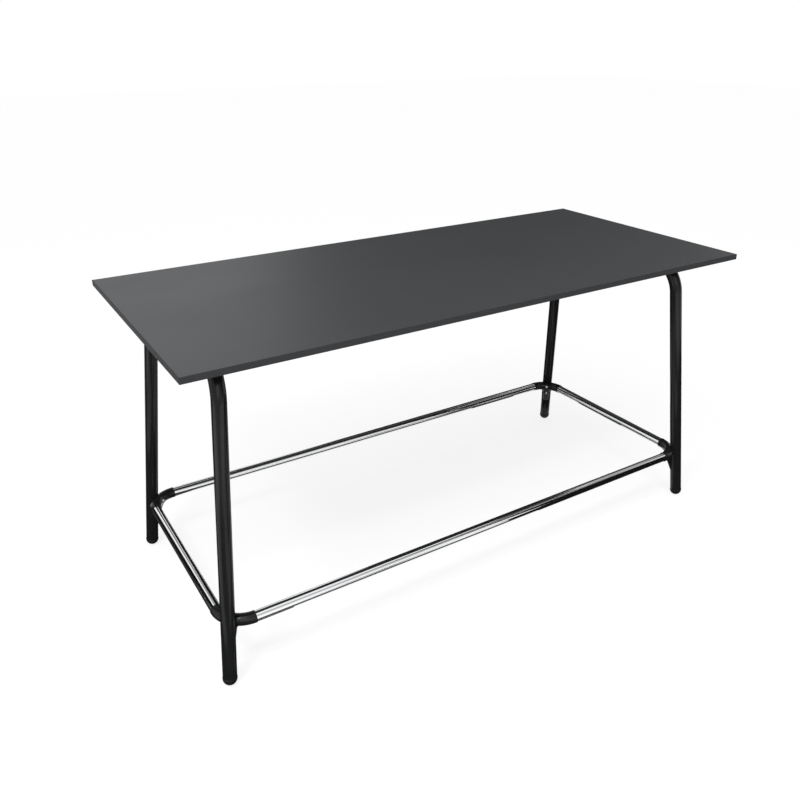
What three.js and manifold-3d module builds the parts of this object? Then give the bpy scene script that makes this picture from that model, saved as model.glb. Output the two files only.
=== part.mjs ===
// Standing meeting table: a laminated top on two bent-tube end frames, which a ring of foot
// rails ties together near the floor. Millimetres; +X runs along the table, +Y to its back and
// +Z up. The origin is on the floor, under the middle of the top.

import * as THREE from 'three';
import { mergeVertices } from 'three/addons/utils/BufferGeometryUtils.js';
import Module from 'manifold-3d';

const wasm = await Module();
wasm.setup();

// Table top
const TABLE_LENGTH = 1800;
const TABLE_WIDTH = 800;
const TABLE_HEIGHT = 906;
const CORE_THICKNESS = 15;
const LAMINATE_THICKNESS = 0.7;
const EDGE_BAND_THICKNESS = 2;
const EDGE_ROUNDING = 1;
const CORNER_RADIUS = 2;
const GLUE_LINE = 0.1;

// End frames
const LEG_DIAMETER = 38;
const LEG_WALL = 2;
const LEG_LEAN_DEGREES = 6; // outwards, both along and across the table
const LEG_BEND_RADIUS = 108;
const FRAME_END_SETBACK = 125.5; // from the table's end to the axis of the cross tube
const FRAME_SIDE_SETBACK = 129; // from the table's side to where a leg's axis meets the cross tube

// Fixing plates, welded on the crest of the cross tubes
const FIXING_PLATE_LENGTH = 96;
const FIXING_PLATE_WIDTH = 40;
const FIXING_PLATE_THICKNESS = 4;
const FIXING_PLATE_CORNER = 8;
const FIXING_PLATE_SETBACK = 151; // from where a leg's axis meets the cross tube
const FIXING_SCREW_SPACING = 70;

// Stiffening rails of hat section under the top
const STIFFENER_DEPTH = 24;
const STIFFENER_CROWN = 26;
const STIFFENER_MOUTH = 34;
const STIFFENER_FLANGE = 18;
const STIFFENER_SHEET = 1.5;
const STIFFENER_SETBACK = 220; // from the table's side to the middle of the rail
const STIFFENER_END_GAP = 50; // from the side of the cross tube
const STIFFENER_SCREWS = 4; // on each rail, on its two flanges in turn
const STIFFENER_SCREW_INSET = 60;

// Wood screws into the core
const WOOD_SCREW_DIAMETER = 5;
const WOOD_SCREW_BITE = 12; // into the board, from its underside
const WOOD_SCREW_POINT = 4;
const WOOD_SCREW_HEAD_DIAMETER = 10;
const WOOD_SCREW_HEAD_HEIGHT = 3;
const WOOD_SCREW_HEAD_RIM = 1.2; // height of the head's upright rim
const WOOD_SCREW_HEAD_CROWN = 6; // diameter of the flat on the head

// Foot rails
const RAIL_HEIGHT = 176;
const RAIL_DIAMETER = 30;
const RAIL_WALL = 1.5;
const RAIL_OUTSET = 5.5; // rail axes run this far outside the leg axes

// Corner brackets
const ELBOW_STEP = 1.5; // the elbow stands this proud of the rail
const ELBOW_BEND_RADIUS = 77;
const ELBOW_END = 1.5; // straight end of each arm, past the bend
const SPIGOT_LENGTH = 32;
const SPIGOT_CHAMFER = 2;
const SPIGOT_ROOT = 8; // sunk into the elbow
const SADDLE_LENGTH = 75; // below the axis of the rails
const SADDLE_WIDTH = 24;
const SADDLE_END_WIDTH = 20;
const SADDLE_END_THICKNESS = 1;
const SADDLE_CORNER = 5;
const SADDLE_FILLET = 9; // into the underside of the elbow

// Bracket screws
const BRACKET_SCREW_DIAMETER = 6;
const BRACKET_SCREW_HEAD_DIAMETER = 11;
const BRACKET_SCREW_HEAD_HEIGHT = 3.3;
const BRACKET_SCREW_SPACING = 36;
const BRACKET_SCREW_END = 5; // past the inner face of the tube wall
const SEAT_DEPTH = 2.2; // of a screw's seat, from the bracket's surface

// Levelling feet
const INSERT_LENGTH = 30;
const INSERT_FLANGE = 1.5;
const INSERT_CHAMFER = 1.5;
const GLIDE_OVERHANG = 0.8; // the domed foot stands this proud of the tube
const GLIDE_COLLAR = 2.5;
const GLIDE_FLAT_DEPTH = 0.8; // ground off the dome where it meets the floor
const STUD_DIAMETER = 10;
const STUD_LENGTH = 44;
const STUD_SOCKET_DEPTH = 12; // held in the dome
const STUD_CHAMFER = 1;

// Gaps
const SEAT_GAP = 0.3; // between pieces that rest on or slide over one another
const HOLE_CLEARANCE = 0.3; // round a screw or stud, on the radius
const SEAT_CLEARANCE = 0.8; // round a bracket screw's head, on the radius

// Faceting
const TUBE_SIDES = 20;
const FOOT_SIDES = 16;
const SEAT_SIDES = 12;
const SCREW_SIDES = 8;
const LEG_BEND_STEPS = 6;
const ELBOW_BEND_STEPS = 6;
const ROUNDING_STEPS = 2;
const FILLET_STEPS = 3;
const DOME_STEPS = 4;
const HEAD_STEPS = 3;
const MERGE_TOLERANCE = 1e-4;

// Finishes
const ANTHRACITE_LAMINATE = { color: 0x4a4c4f, roughness: 0.42, metalness: 0 };
const ANTHRACITE_EDGE = { color: 0x424447, roughness: 0.5, metalness: 0 };
const WOOD_CORE = { color: 0xb0946c, roughness: 0.9, metalness: 0 };
const BLACK_POWDER_COAT = { color: 0x1d1d1e, roughness: 0.45, metalness: 0.2 };
const CHROME = { color: 0xd9dbde, roughness: 0.06, metalness: 1 };
const PALE_STEEL = { color: 0xb3b5b7, roughness: 0.35, metalness: 1 };
const BLACK_PLASTIC = { color: 0x161617, roughness: 0.55, metalness: 0 };

// Worked-out sizes
const TOP_THICKNESS = CORE_THICKNESS + 2 * (LAMINATE_THICKNESS + GLUE_LINE);
const BOARD_INSET = EDGE_BAND_THICKNESS + GLUE_LINE;
const undersideZ = TABLE_HEIGHT - TOP_THICKNESS;
const legRadius = LEG_DIAMETER / 2;
const legBore = legRadius - LEG_WALL;
const crossTubeX = TABLE_LENGTH / 2 - FRAME_END_SETBACK;
const crossTubeEndY = TABLE_WIDTH / 2 - FRAME_SIDE_SETBACK;
const crossTubeZ = undersideZ - FIXING_PLATE_THICKNESS - 2 * SEAT_GAP - legRadius;
const leanSlope = Math.tan(THREE.MathUtils.degToRad(LEG_LEAN_DEGREES));
const railRadius = RAIL_DIAMETER / 2;
const elbowRadius = railRadius + ELBOW_STEP;
const glideRadius = legRadius + GLIDE_OVERHANG;

// Where a leg's axis is at one height, in the back right corner
function legSpread(z) {
  const spread = leanSlope * (crossTubeZ - z);
  return { x: crossTubeX + spread, y: crossTubeEndY + spread };
}

const railSpread = legSpread(RAIL_HEIGHT);
const railX = railSpread.x + RAIL_OUTSET;
const railY = railSpread.y + RAIL_OUTSET;
const elbowArm = ELBOW_BEND_RADIUS + ELBOW_END;

// The corners in turn. A corner's own axes point inwards along the table's sides: turning them
// by quarter turns leads from one corner to the next.
const CORNERS = [
  { name: 'front_left', sideX: -1, sideY: -1 },
  { name: 'front_right', sideX: 1, sideY: -1 },
  { name: 'back_right', sideX: 1, sideY: 1 },
  { name: 'back_left', sideX: -1, sideY: 1 },
];

function cornerGroup(index, z) {
  const { sideX, sideY } = CORNERS[index];
  const spread = legSpread(z);
  const group = new THREE.Group();
  group.position.set(sideX * spread.x, sideY * spread.y, z);
  group.rotation.z = (index * Math.PI) / 2;
  group.updateMatrix();
  return group;
}

// Directions in a corner's own axes: up the leg, square to it towards the table's middle, and
// level along the corner's diagonal and across it
const UP = new THREE.Vector3(0, 0, 1);
const legUp = new THREE.Vector3(leanSlope, leanSlope, 1).normalize();
const diagonal = new THREE.Vector3(1, 1, 0).normalize();
const acrossDiagonal = new THREE.Vector3(1, -1, 0).normalize();
const legInward = diagonal.clone().addScaledVector(legUp, -diagonal.dot(legUp)).normalize();
const legTurn = new THREE.Quaternion().setFromUnitVectors(UP, legUp);
const screwTurn = new THREE.Quaternion().setFromUnitVectors(UP, legInward);

// Solids that are cut and joined
function solid(geometry) {
  const bare = geometry.clone();
  bare.deleteAttribute('normal');
  bare.deleteAttribute('uv');
  const merged = mergeVertices(bare, MERGE_TOLERANCE);
  return new wasm.Manifold(
    new wasm.Mesh({
      numProp: 3,
      vertProperties: merged.attributes.position.array,
      triVerts: new Uint32Array(merged.index.array),
    }),
  );
}

function geometryOf(body) {
  const { vertProperties, triVerts } = body.getMesh();
  const geometry = new THREE.BufferGeometry();
  geometry.setAttribute('position', new THREE.BufferAttribute(vertProperties, 3));
  geometry.setIndex(new THREE.BufferAttribute(triVerts, 1));
  geometry.computeVertexNormals();
  return geometry;
}

function cut(geometry, cutters) {
  let body = solid(geometry);
  for (const cutter of cutters) {
    body = body.subtract(solid(cutter));
  }
  return geometryOf(body);
}

// Outlines and basic forms
function circlePoints(radius, sides) {
  const points = [];
  for (let i = 0; i < sides; i++) {
    const angle = (2 * Math.PI * i) / sides;
    points.push(new THREE.Vector2(radius * Math.cos(angle), radius * Math.sin(angle)));
  }
  return points;
}

function tubeSection(outerRadius, innerRadius) {
  const section = new THREE.Shape(circlePoints(outerRadius, TUBE_SIDES));
  section.holes.push(new THREE.Path(circlePoints(innerRadius, TUBE_SIDES)));
  return section;
}

function arcPoints(centre, radius, fromAngle, toAngle, steps) {
  const points = [];
  for (let i = 0; i <= steps; i++) {
    const angle = fromAngle + ((toAngle - fromAngle) * i) / steps;
    points.push(
      new THREE.Vector2(
        centre.x + radius * Math.cos(angle),
        centre.y + radius * Math.sin(angle),
      ),
    );
  }
  return points;
}

function roundedRectangle(width, height, radius) {
  const quarter = Math.PI / 2;
  const points = [];
  const centres = [
    [1, 1],
    [-1, 1],
    [-1, -1],
    [1, -1],
  ];
  centres.forEach(([sideX, sideY], i) => {
    const centre = { x: sideX * (width / 2 - radius), y: sideY * (height / 2 - radius) };
    points.push(...arcPoints(centre, radius, i * quarter, (i + 1) * quarter, ROUNDING_STEPS));
  });
  return new THREE.Shape(points);
}

function prism(section, depth) {
  return new THREE.ExtrudeGeometry(section, { depth, steps: 1, bevelEnabled: false });
}

// A closed or axis-to-axis outline turned about Z; outline points are [radius, height]
function turned(outline, sides) {
  const points = outline.map(([radius, height]) => new THREE.Vector2(radius, height));
  return new THREE.LatheGeometry(points, sides).rotateX(Math.PI / 2);
}

// A rod along Z from one height to another
function rod(radius, fromZ, toZ, sides) {
  const geometry = new THREE.CylinderGeometry(radius, radius, toZ - fromZ, sides);
  return geometry.rotateX(Math.PI / 2).translate(0, 0, (fromZ + toZ) / 2);
}

// A path that is sampled at its stations alone, so a straight run takes one step
class StationPath extends THREE.Curve {
  constructor(points, tangents) {
    super();
    this.points = points;
    this.tangents = tangents;
  }

  stationAt(u) {
    return Math.round(u * (this.points.length - 1));
  }

  getPointAt(u, target = new THREE.Vector3()) {
    return target.copy(this.points[this.stationAt(u)]);
  }

  getTangentAt(u, target = new THREE.Vector3()) {
    return target.copy(this.tangents[this.stationAt(u)]);
  }
}

// Straight runs between corner points, with each inner corner rounded to one bend radius
function bentPath(corners, bendRadius, bendSteps) {
  const directions = corners.slice(1).map((corner, i) => corner.clone().sub(corners[i]).normalize());
  const points = [corners[0]];
  const tangents = [directions[0]];
  for (let i = 1; i < corners.length - 1; i++) {
    const incoming = directions[i - 1];
    const turn = incoming.angleTo(directions[i]);
    const turnAxis = incoming.clone().cross(directions[i]).normalize();
    const start = corners[i].clone().addScaledVector(incoming, -bendRadius * Math.tan(turn / 2));
    const centre = turnAxis.clone().cross(incoming).multiplyScalar(bendRadius).add(start);
    for (let step = 0; step <= bendSteps; step++) {
      const angle = (turn * step) / bendSteps;
      points.push(start.clone().sub(centre).applyAxisAngle(turnAxis, angle).add(centre));
      tangents.push(incoming.clone().applyAxisAngle(turnAxis, angle));
    }
  }
  points.push(corners[corners.length - 1]);
  tangents.push(directions[directions.length - 1]);
  return new StationPath(points, tangents);
}

function swept(section, path) {
  return new THREE.ExtrudeGeometry(section, {
    extrudePath: path,
    steps: path.points.length - 1,
  });
}

// A section carried through levels; place() sizes it and sets it down at each level
function loft(section, levels, place) {
  const steps = levels.length - 1;
  const geometry = new THREE.ExtrudeGeometry(section, { depth: steps, steps, bevelEnabled: false });
  const position = geometry.attributes.position;
  for (let i = 0; i < position.count; i++) {
    const level = levels[Math.round(position.getZ(i))];
    const point = place(position.getX(i), position.getY(i), level);
    position.setXYZ(i, point.x, point.y, point.z);
  }
  return geometry;
}

const table = new THREE.Group();
table.name = 'standing_meeting_table';

function addPiece(name, geometry, finish, parent = table) {
  const mesh = new THREE.Mesh(geometry, new THREE.MeshStandardMaterial(finish));
  mesh.name = name;
  parent.add(mesh);
  return mesh;
}

// Where the wood screws stand: at the two ends of each fixing plate, and along the stiffening
// rails on the inner and outer flange in turn
const stiffenerHalfLength = crossTubeX - legRadius - STIFFENER_END_GAP;
const stiffenerY = TABLE_WIDTH / 2 - STIFFENER_SETBACK;
const flangeMiddle = STIFFENER_MOUTH / 2 + STIFFENER_FLANGE / 2;
const fixingPlates = [];
const fixingScrews = [];
for (const [frameName, sideX] of [['left', -1], ['right', 1]]) {
  for (const [endName, sideY] of [['front', -1], ['back', 1]]) {
    const name = `${frameName}_${endName}`;
    const x = sideX * crossTubeX;
    const y = sideY * (crossTubeEndY - FIXING_PLATE_SETBACK);
    fixingPlates.push({ name, x, y });
    for (const [screwName, screwSide] of [['inner', -sideX], ['outer', sideX]]) {
      fixingScrews.push({
        name: `${name}_${screwName}`,
        x: x + (screwSide * FIXING_SCREW_SPACING) / 2,
        y,
      });
    }
  }
}

const stiffenerScrews = [];
for (const [railName, sideY] of [['front', -1], ['back', 1]]) {
  for (let i = 0; i < STIFFENER_SCREWS; i++) {
    const share = i / (STIFFENER_SCREWS - 1);
    const flange = i % 2 === 0 ? flangeMiddle : -flangeMiddle;
    stiffenerScrews.push({
      name: `${railName}_${i + 1}`,
      x: (2 * share - 1) * (stiffenerHalfLength - STIFFENER_SCREW_INSET),
      y: sideY * (stiffenerY + flange),
      sideY,
    });
  }
}
const woodScrews = [...fixingScrews, ...stiffenerScrews];

// Board: wood core between an upper and a lower laminate, bored for the screws from below
const holeRadius = WOOD_SCREW_DIAMETER / 2 + HOLE_CLEARANCE;
const screwTipZ = undersideZ + WOOD_SCREW_BITE;

function boardLayer(thickness, lowerZ) {
  const length = TABLE_LENGTH - 2 * BOARD_INSET;
  const width = TABLE_WIDTH - 2 * BOARD_INSET;
  return new THREE.BoxGeometry(length, width, thickness).translate(0, 0, lowerZ + thickness / 2);
}

function boredLayer(layer) {
  const bores = woodScrews.map(({ x, y }) =>
    rod(holeRadius, undersideZ - SEAT_GAP, screwTipZ + HOLE_CLEARANCE, SCREW_SIDES).translate(x, y, 0),
  );
  return cut(layer, bores);
}

const coreZ = undersideZ + LAMINATE_THICKNESS + GLUE_LINE;
const upperLaminateZ = TABLE_HEIGHT - LAMINATE_THICKNESS;
addPiece('top_core', boredLayer(boardLayer(CORE_THICKNESS, coreZ)), WOOD_CORE);
addPiece('top_laminate', boardLayer(LAMINATE_THICKNESS, upperLaminateZ), ANTHRACITE_LAMINATE);
addPiece(
  'underside_laminate',
  boredLayer(boardLayer(LAMINATE_THICKNESS, undersideZ)),
  ANTHRACITE_LAMINATE,
);

// Edge bands: the front and back bands run past the ends of the side bands, and the four
// upright corners of the top are rounded over together
function edgeBand(length) {
  const quarter = Math.PI / 2;
  const outerX = EDGE_BAND_THICKNESS - EDGE_ROUNDING;
  const upper = { x: outerX, y: TOP_THICKNESS - EDGE_ROUNDING };
  const lower = { x: outerX, y: EDGE_ROUNDING };
  const section = new THREE.Shape([
    new THREE.Vector2(0, 0),
    ...arcPoints(lower, EDGE_ROUNDING, -quarter, 0, ROUNDING_STEPS),
    ...arcPoints(upper, EDGE_ROUNDING, 0, quarter, ROUNDING_STEPS),
    new THREE.Vector2(0, TOP_THICKNESS),
  ]);
  const band = prism(section, length).translate(0, 0, -length / 2);
  return band.rotateX(quarter).translate(0, 0, undersideZ);
}

const cornerTrim = solid(
  prism(roundedRectangle(TABLE_LENGTH, TABLE_WIDTH, CORNER_RADIUS), TABLE_HEIGHT),
);
for (const [name, sideY] of [['front', -1], ['back', 1]]) {
  const band = edgeBand(TABLE_LENGTH).translate(TABLE_WIDTH / 2 - EDGE_BAND_THICKNESS, 0, 0);
  band.rotateZ((sideY * Math.PI) / 2);
  addPiece(`edge_band_${name}`, geometryOf(solid(band).intersect(cornerTrim)), ANTHRACITE_EDGE);
}
for (const [name, sideX] of [['left', -1], ['right', 1]]) {
  const band = edgeBand(TABLE_WIDTH - 2 * BOARD_INSET);
  band.translate(TABLE_LENGTH / 2 - EDGE_BAND_THICKNESS, 0, 0);
  band.rotateZ(sideX < 0 ? Math.PI : 0);
  addPiece(`edge_band_${name}`, band, ANTHRACITE_EDGE);
}

// Feet, set out along the leg's axis from the middle of the dome, in a corner's own axes. The
// dome is a half ball under a collar; the tube ends above the collar and the insert's flange.
const domeCentreZ = glideRadius - GLIDE_FLAT_DEPTH;
const insertStart = GLIDE_COLLAR + SEAT_GAP;
const tubeStart = insertStart + INSERT_FLANGE + SEAT_GAP;
const tubeEndZ = domeCentreZ + tubeStart * legUp.z;

// The bracket on a corner's diagonal, as [distance inwards, height] from the leg's axis at the
// height of the rails: the round of the elbow, and the saddle's face, which leaves the elbow at a
// tangent and runs down to the leg
const elbowInset = ELBOW_BEND_RADIUS * (Math.SQRT2 - 1) - RAIL_OUTSET * Math.SQRT2;
const elbowReach = elbowInset + elbowRadius;
const diagonalSlope = leanSlope * Math.SQRT2;
const faceEnd = [legRadius + SADDLE_END_THICKNESS - diagonalSlope * SADDLE_LENGTH, -SADDLE_LENGTH];
const faceAngle =
  Math.atan2(elbowInset - faceEnd[0], -faceEnd[1]) +
  Math.asin(elbowRadius / Math.hypot(elbowInset - faceEnd[0], faceEnd[1]));
const faceStart = [
  elbowInset + elbowRadius * Math.cos(faceAngle),
  -elbowRadius * Math.sin(faceAngle),
];

function faceAt(z) {
  return faceEnd[0] + (z - faceEnd[1]) * Math.tan(faceAngle);
}

// Bracket screws, square to the leg: rise is how far up the leg from the height of the rails, and
// surface is how far from the leg's axis the screw meets the bracket
const leanAngle = Math.atan(diagonalSlope);
const upperRise = elbowReach * Math.sin(leanAngle);
const lowerRise = upperRise - BRACKET_SCREW_SPACING;
const lowerStart = [lowerRise * Math.sin(leanAngle), lowerRise * Math.cos(leanAngle)];
const lowerSurface =
  ((faceAt(lowerStart[1]) - lowerStart[0]) * Math.cos(faceAngle)) / Math.cos(faceAngle - leanAngle);
const bracketScrews = [
  { name: 'upper', rise: upperRise, seat: elbowReach * Math.cos(leanAngle) - SEAT_DEPTH },
  { name: 'lower', rise: lowerRise, seat: lowerSurface - SEAT_DEPTH },
];
const bracketHoleRadius = BRACKET_SCREW_DIAMETER / 2 + HOLE_CLEARANCE;
const screwTipReach = legBore - BRACKET_SCREW_END;

// A form that stands on a bracket screw's axis, turned and moved into a corner's own axes
function onScrewAxis(geometry, screw) {
  return geometry
    .applyQuaternion(screwTurn)
    .translate(legUp.x * screw.rise, legUp.y * screw.rise, legUp.z * screw.rise);
}

// End frames: one tube from foot to foot, bent twice, with the bracket screws' holes in the legs
for (const [name, sideX] of [['left', -1], ['right', 1]]) {
  const foot = legSpread(tubeEndZ);
  const path = bentPath(
    [
      new THREE.Vector3(sideX * foot.x, -foot.y, tubeEndZ),
      new THREE.Vector3(sideX * crossTubeX, -crossTubeEndY, crossTubeZ),
      new THREE.Vector3(sideX * crossTubeX, crossTubeEndY, crossTubeZ),
      new THREE.Vector3(sideX * foot.x, foot.y, tubeEndZ),
    ],
    LEG_BEND_RADIUS,
    LEG_BEND_STEPS,
  );
  const holes = [];
  CORNERS.forEach((corner, index) => {
    if (corner.sideX !== sideX) {
      return;
    }
    for (const screw of bracketScrews) {
      const hole = rod(bracketHoleRadius, screwTipReach, legRadius + SEAT_GAP, SCREW_SIDES);
      holes.push(onScrewAxis(hole, screw).applyMatrix4(cornerGroup(index, RAIL_HEIGHT).matrix));
    }
  });
  const tube = swept(tubeSection(legRadius, legBore), path);
  addPiece(`leg_frame_${name}`, cut(tube, holes), BLACK_POWDER_COAT);
}

// Fixing plates on the cross tubes
const plateZ = undersideZ - SEAT_GAP - FIXING_PLATE_THICKNESS;
for (const { name, x, y } of fixingPlates) {
  const outline = roundedRectangle(FIXING_PLATE_LENGTH, FIXING_PLATE_WIDTH, FIXING_PLATE_CORNER);
  for (const side of [-1, 1]) {
    const hole = circlePoints(holeRadius, SCREW_SIDES);
    hole.forEach((point) => {
      point.x += (side * FIXING_SCREW_SPACING) / 2;
    });
    outline.holes.push(new THREE.Path(hole));
  }
  const plate = addPiece(
    `fixing_plate_${name}`,
    prism(outline, FIXING_PLATE_THICKNESS),
    BLACK_POWDER_COAT,
  );
  plate.position.set(x, y, plateZ);
}

// Stiffening rails: sheet pressed to a hat section, with its flanges against the underside
function hatSection() {
  const crown = STIFFENER_CROWN / 2;
  const mouth = STIFFENER_MOUTH / 2;
  const brim = mouth + STIFFENER_FLANGE;
  const sheet = STIFFENER_SHEET;
  const half = [
    [crown, -STIFFENER_DEPTH],
    [mouth, -sheet],
    [brim, -sheet],
    [brim, 0],
    [mouth - sheet, 0],
    [crown - sheet, sheet - STIFFENER_DEPTH],
  ];
  const otherHalf = half.map(([y, z]) => [-y, z]).reverse();
  return new THREE.Shape([...half, ...otherHalf].map(([y, z]) => new THREE.Vector2(y, z)));
}

const stiffenerZ = undersideZ - SEAT_GAP;
const alongTable = new THREE.Matrix4().makeBasis(
  new THREE.Vector3(0, 1, 0),
  new THREE.Vector3(0, 0, 1),
  new THREE.Vector3(1, 0, 0),
);
for (const [name, sideY] of [['front', -1], ['back', 1]]) {
  const rail = prism(hatSection(), 2 * stiffenerHalfLength).translate(0, 0, -stiffenerHalfLength);
  rail.applyMatrix4(alongTable).translate(0, sideY * stiffenerY, stiffenerZ);
  const holes = stiffenerScrews
    .filter((screw) => screw.sideY === sideY)
    .map(({ x, y }) =>
      rod(holeRadius, stiffenerZ - 2 * STIFFENER_SHEET, undersideZ, SCREW_SIDES).translate(x, y, 0),
    );
  addPiece(`stiffener_${name}`, cut(rail, holes), BLACK_POWDER_COAT);
}

// Wood screws: pan head, plain shank and point
function woodScrew(gripped) {
  const shank = WOOD_SCREW_DIAMETER / 2;
  const head = WOOD_SCREW_HEAD_DIAMETER / 2;
  const length = gripped + WOOD_SCREW_BITE;
  return turned(
    [
      [0, -WOOD_SCREW_HEAD_HEIGHT],
      [WOOD_SCREW_HEAD_CROWN / 2, -WOOD_SCREW_HEAD_HEIGHT],
      [head, -WOOD_SCREW_HEAD_RIM],
      [head, 0],
      [shank, 0],
      [shank, length - WOOD_SCREW_POINT],
      [0, length],
    ],
    SCREW_SIDES,
  );
}

function addWoodScrews(screws, prefix, gripped) {
  for (const { name, x, y } of screws) {
    const screw = addPiece(`${prefix}_${name}`, woodScrew(gripped), PALE_STEEL);
    screw.position.set(x, y, undersideZ - gripped);
  }
}
addWoodScrews(fixingScrews, 'fixing_screw', SEAT_GAP + FIXING_PLATE_THICKNESS + SEAT_GAP);
addWoodScrews(stiffenerScrews, 'stiffener_screw', SEAT_GAP + STIFFENER_SHEET + SEAT_GAP);

// Foot rails: straight tubes from elbow to elbow, slid over the spigots
function footRail(halfLength) {
  const length = 2 * (halfLength - elbowArm - SEAT_GAP);
  return prism(tubeSection(railRadius, railRadius - RAIL_WALL), length).translate(0, 0, -length / 2);
}

for (const [name, sideY] of [['front', -1], ['back', 1]]) {
  const rail = addPiece(`foot_rail_${name}`, footRail(railX), CHROME);
  rail.rotation.y = Math.PI / 2;
  rail.position.set(0, sideY * railY, RAIL_HEIGHT);
}
for (const [name, sideX] of [['left', -1], ['right', 1]]) {
  const rail = addPiece(`foot_rail_${name}`, footRail(railY), CHROME);
  rail.rotation.x = Math.PI / 2;
  rail.position.set(sideX * railX, 0, RAIL_HEIGHT);
}

// Corner bracket, in a corner's own axes: a quarter-round elbow with a spigot on each arm, and a
// saddle that runs out down the inner side of the leg. The leg is cut out of it all.
function spigot() {
  const radius = railRadius - RAIL_WALL - SEAT_GAP;
  return turned(
    [
      [0, -SPIGOT_ROOT],
      [radius, -SPIGOT_ROOT],
      [radius, SPIGOT_LENGTH - SPIGOT_CHAMFER],
      [radius - SPIGOT_CHAMFER, SPIGOT_LENGTH],
      [0, SPIGOT_LENGTH],
    ],
    TUBE_SIDES,
  );
}

function saddle() {
  const filletZ = -elbowRadius - SADDLE_FILLET;
  const levels = [-SADDLE_LENGTH];
  for (let i = 0; i <= FILLET_STEPS; i++) {
    levels.push(filletZ + SADDLE_FILLET * Math.sin((Math.PI / 2) * (i / FILLET_STEPS)));
  }
  levels.push(faceStart[1]);
  const half = SADDLE_WIDTH / 2;
  const section = roundedRectangle(SADDLE_WIDTH, SADDLE_WIDTH, SADDLE_CORNER);
  return loft(section, levels, (across, inward, z) => {
    const climb = Math.min(SADDLE_FILLET, Math.max(0, z - filletZ));
    const flare = SADDLE_FILLET - Math.sqrt(SADDLE_FILLET ** 2 - climb ** 2);
    const drop = Math.max(0, (filletZ - z) / (SADDLE_LENGTH + filletZ));
    const widening = flare - (drop * (SADDLE_WIDTH - SADDLE_END_WIDTH)) / 2;
    const legAxis = diagonalSlope * z;
    const inner = legAxis + (flare / SADDLE_FILLET) * (elbowInset - legAxis);
    const depth = inward > 0 ? faceAt(z) - half + inward : inner + half + inward;
    return diagonal
      .clone()
      .multiplyScalar(depth)
      .addScaledVector(acrossDiagonal, across + Math.sign(across) * widening)
      .addScaledVector(UP, z);
  });
}

function cornerBracket() {
  const arm = elbowArm - RAIL_OUTSET;
  const elbowPath = bentPath(
    [
      new THREE.Vector3(arm, -RAIL_OUTSET, 0),
      new THREE.Vector3(-RAIL_OUTSET, -RAIL_OUTSET, 0),
      new THREE.Vector3(-RAIL_OUTSET, arm, 0),
    ],
    ELBOW_BEND_RADIUS,
    ELBOW_BEND_STEPS,
  );
  const elbow = swept(new THREE.Shape(circlePoints(elbowRadius, TUBE_SIDES)), elbowPath);
  const spigotX = spigot().rotateY(Math.PI / 2).translate(arm, -RAIL_OUTSET, 0);
  const spigotY = spigot().rotateX(-Math.PI / 2).translate(-RAIL_OUTSET, arm, 0);
  let body = solid(elbow).add(solid(saddle())).add(solid(spigotX)).add(solid(spigotY));
  const legReach = SADDLE_LENGTH + elbowRadius + legRadius;
  const leg = rod(legRadius + SEAT_GAP, -legReach, legReach, TUBE_SIDES).applyQuaternion(legTurn);
  body = body.subtract(solid(leg));
  const seatRadius = BRACKET_SCREW_HEAD_DIAMETER / 2 + SEAT_CLEARANCE;
  for (const screw of bracketScrews) {
    const hole = rod(bracketHoleRadius, 0, elbowReach, SCREW_SIDES);
    const seat = rod(seatRadius, screw.seat, elbowReach + seatRadius, SEAT_SIDES);
    body = body.subtract(solid(onScrewAxis(hole, screw)));
    body = body.subtract(solid(onScrewAxis(seat, screw)));
  }
  return geometryOf(body);
}

// Bracket screw: a domed head on the seat, and a shank that ends inside the leg
function bracketScrew(screw) {
  const shank = BRACKET_SCREW_DIAMETER / 2;
  const head = BRACKET_SCREW_HEAD_DIAMETER / 2;
  const seat = screw.seat + SEAT_GAP;
  const outline = [
    [0, screwTipReach],
    [shank, screwTipReach],
    [shank, seat],
  ];
  for (let i = 0; i <= HEAD_STEPS; i++) {
    const angle = ((Math.PI / 2) * i) / HEAD_STEPS;
    const radius = i === HEAD_STEPS ? 0 : head * Math.cos(angle);
    outline.push([radius, seat + BRACKET_SCREW_HEAD_HEIGHT * Math.sin(angle)]);
  }
  return onScrewAxis(turned(outline, SCREW_SIDES), screw);
}

CORNERS.forEach((corner, index) => {
  const group = cornerGroup(index, RAIL_HEIGHT);
  table.add(group);
  addPiece(`corner_bracket_${corner.name}`, cornerBracket(), BLACK_POWDER_COAT, group);
  for (const screw of bracketScrews) {
    const name = `bracket_screw_${corner.name}_${screw.name}`;
    addPiece(name, bracketScrew(screw), PALE_STEEL, group);
  }
});

// Levelling foot: an insert pressed into the tube's end, a stud screwed up into it, and a domed
// glide moulded on the stud, with a small flat where it stands on the floor
function legInsert() {
  const body = legBore - SEAT_GAP;
  const bore = STUD_DIAMETER / 2 + HOLE_CLEARANCE;
  const top = tubeStart + INSERT_LENGTH;
  return turned(
    [
      [bore, insertStart],
      [legRadius, insertStart],
      [legRadius, insertStart + INSERT_FLANGE],
      [body, insertStart + INSERT_FLANGE],
      [body, top - INSERT_CHAMFER],
      [body - INSERT_CHAMFER, top],
      [bore, top],
      [bore, insertStart],
    ],
    FOOT_SIDES,
  );
}

function stud() {
  const radius = STUD_DIAMETER / 2;
  const lower = GLIDE_COLLAR - STUD_SOCKET_DEPTH + SEAT_GAP;
  const upper = lower + STUD_LENGTH;
  return turned(
    [
      [0, lower],
      [radius, lower],
      [radius, upper - STUD_CHAMFER],
      [radius - STUD_CHAMFER, upper],
      [0, upper],
    ],
    SCREW_SIDES,
  );
}

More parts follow.
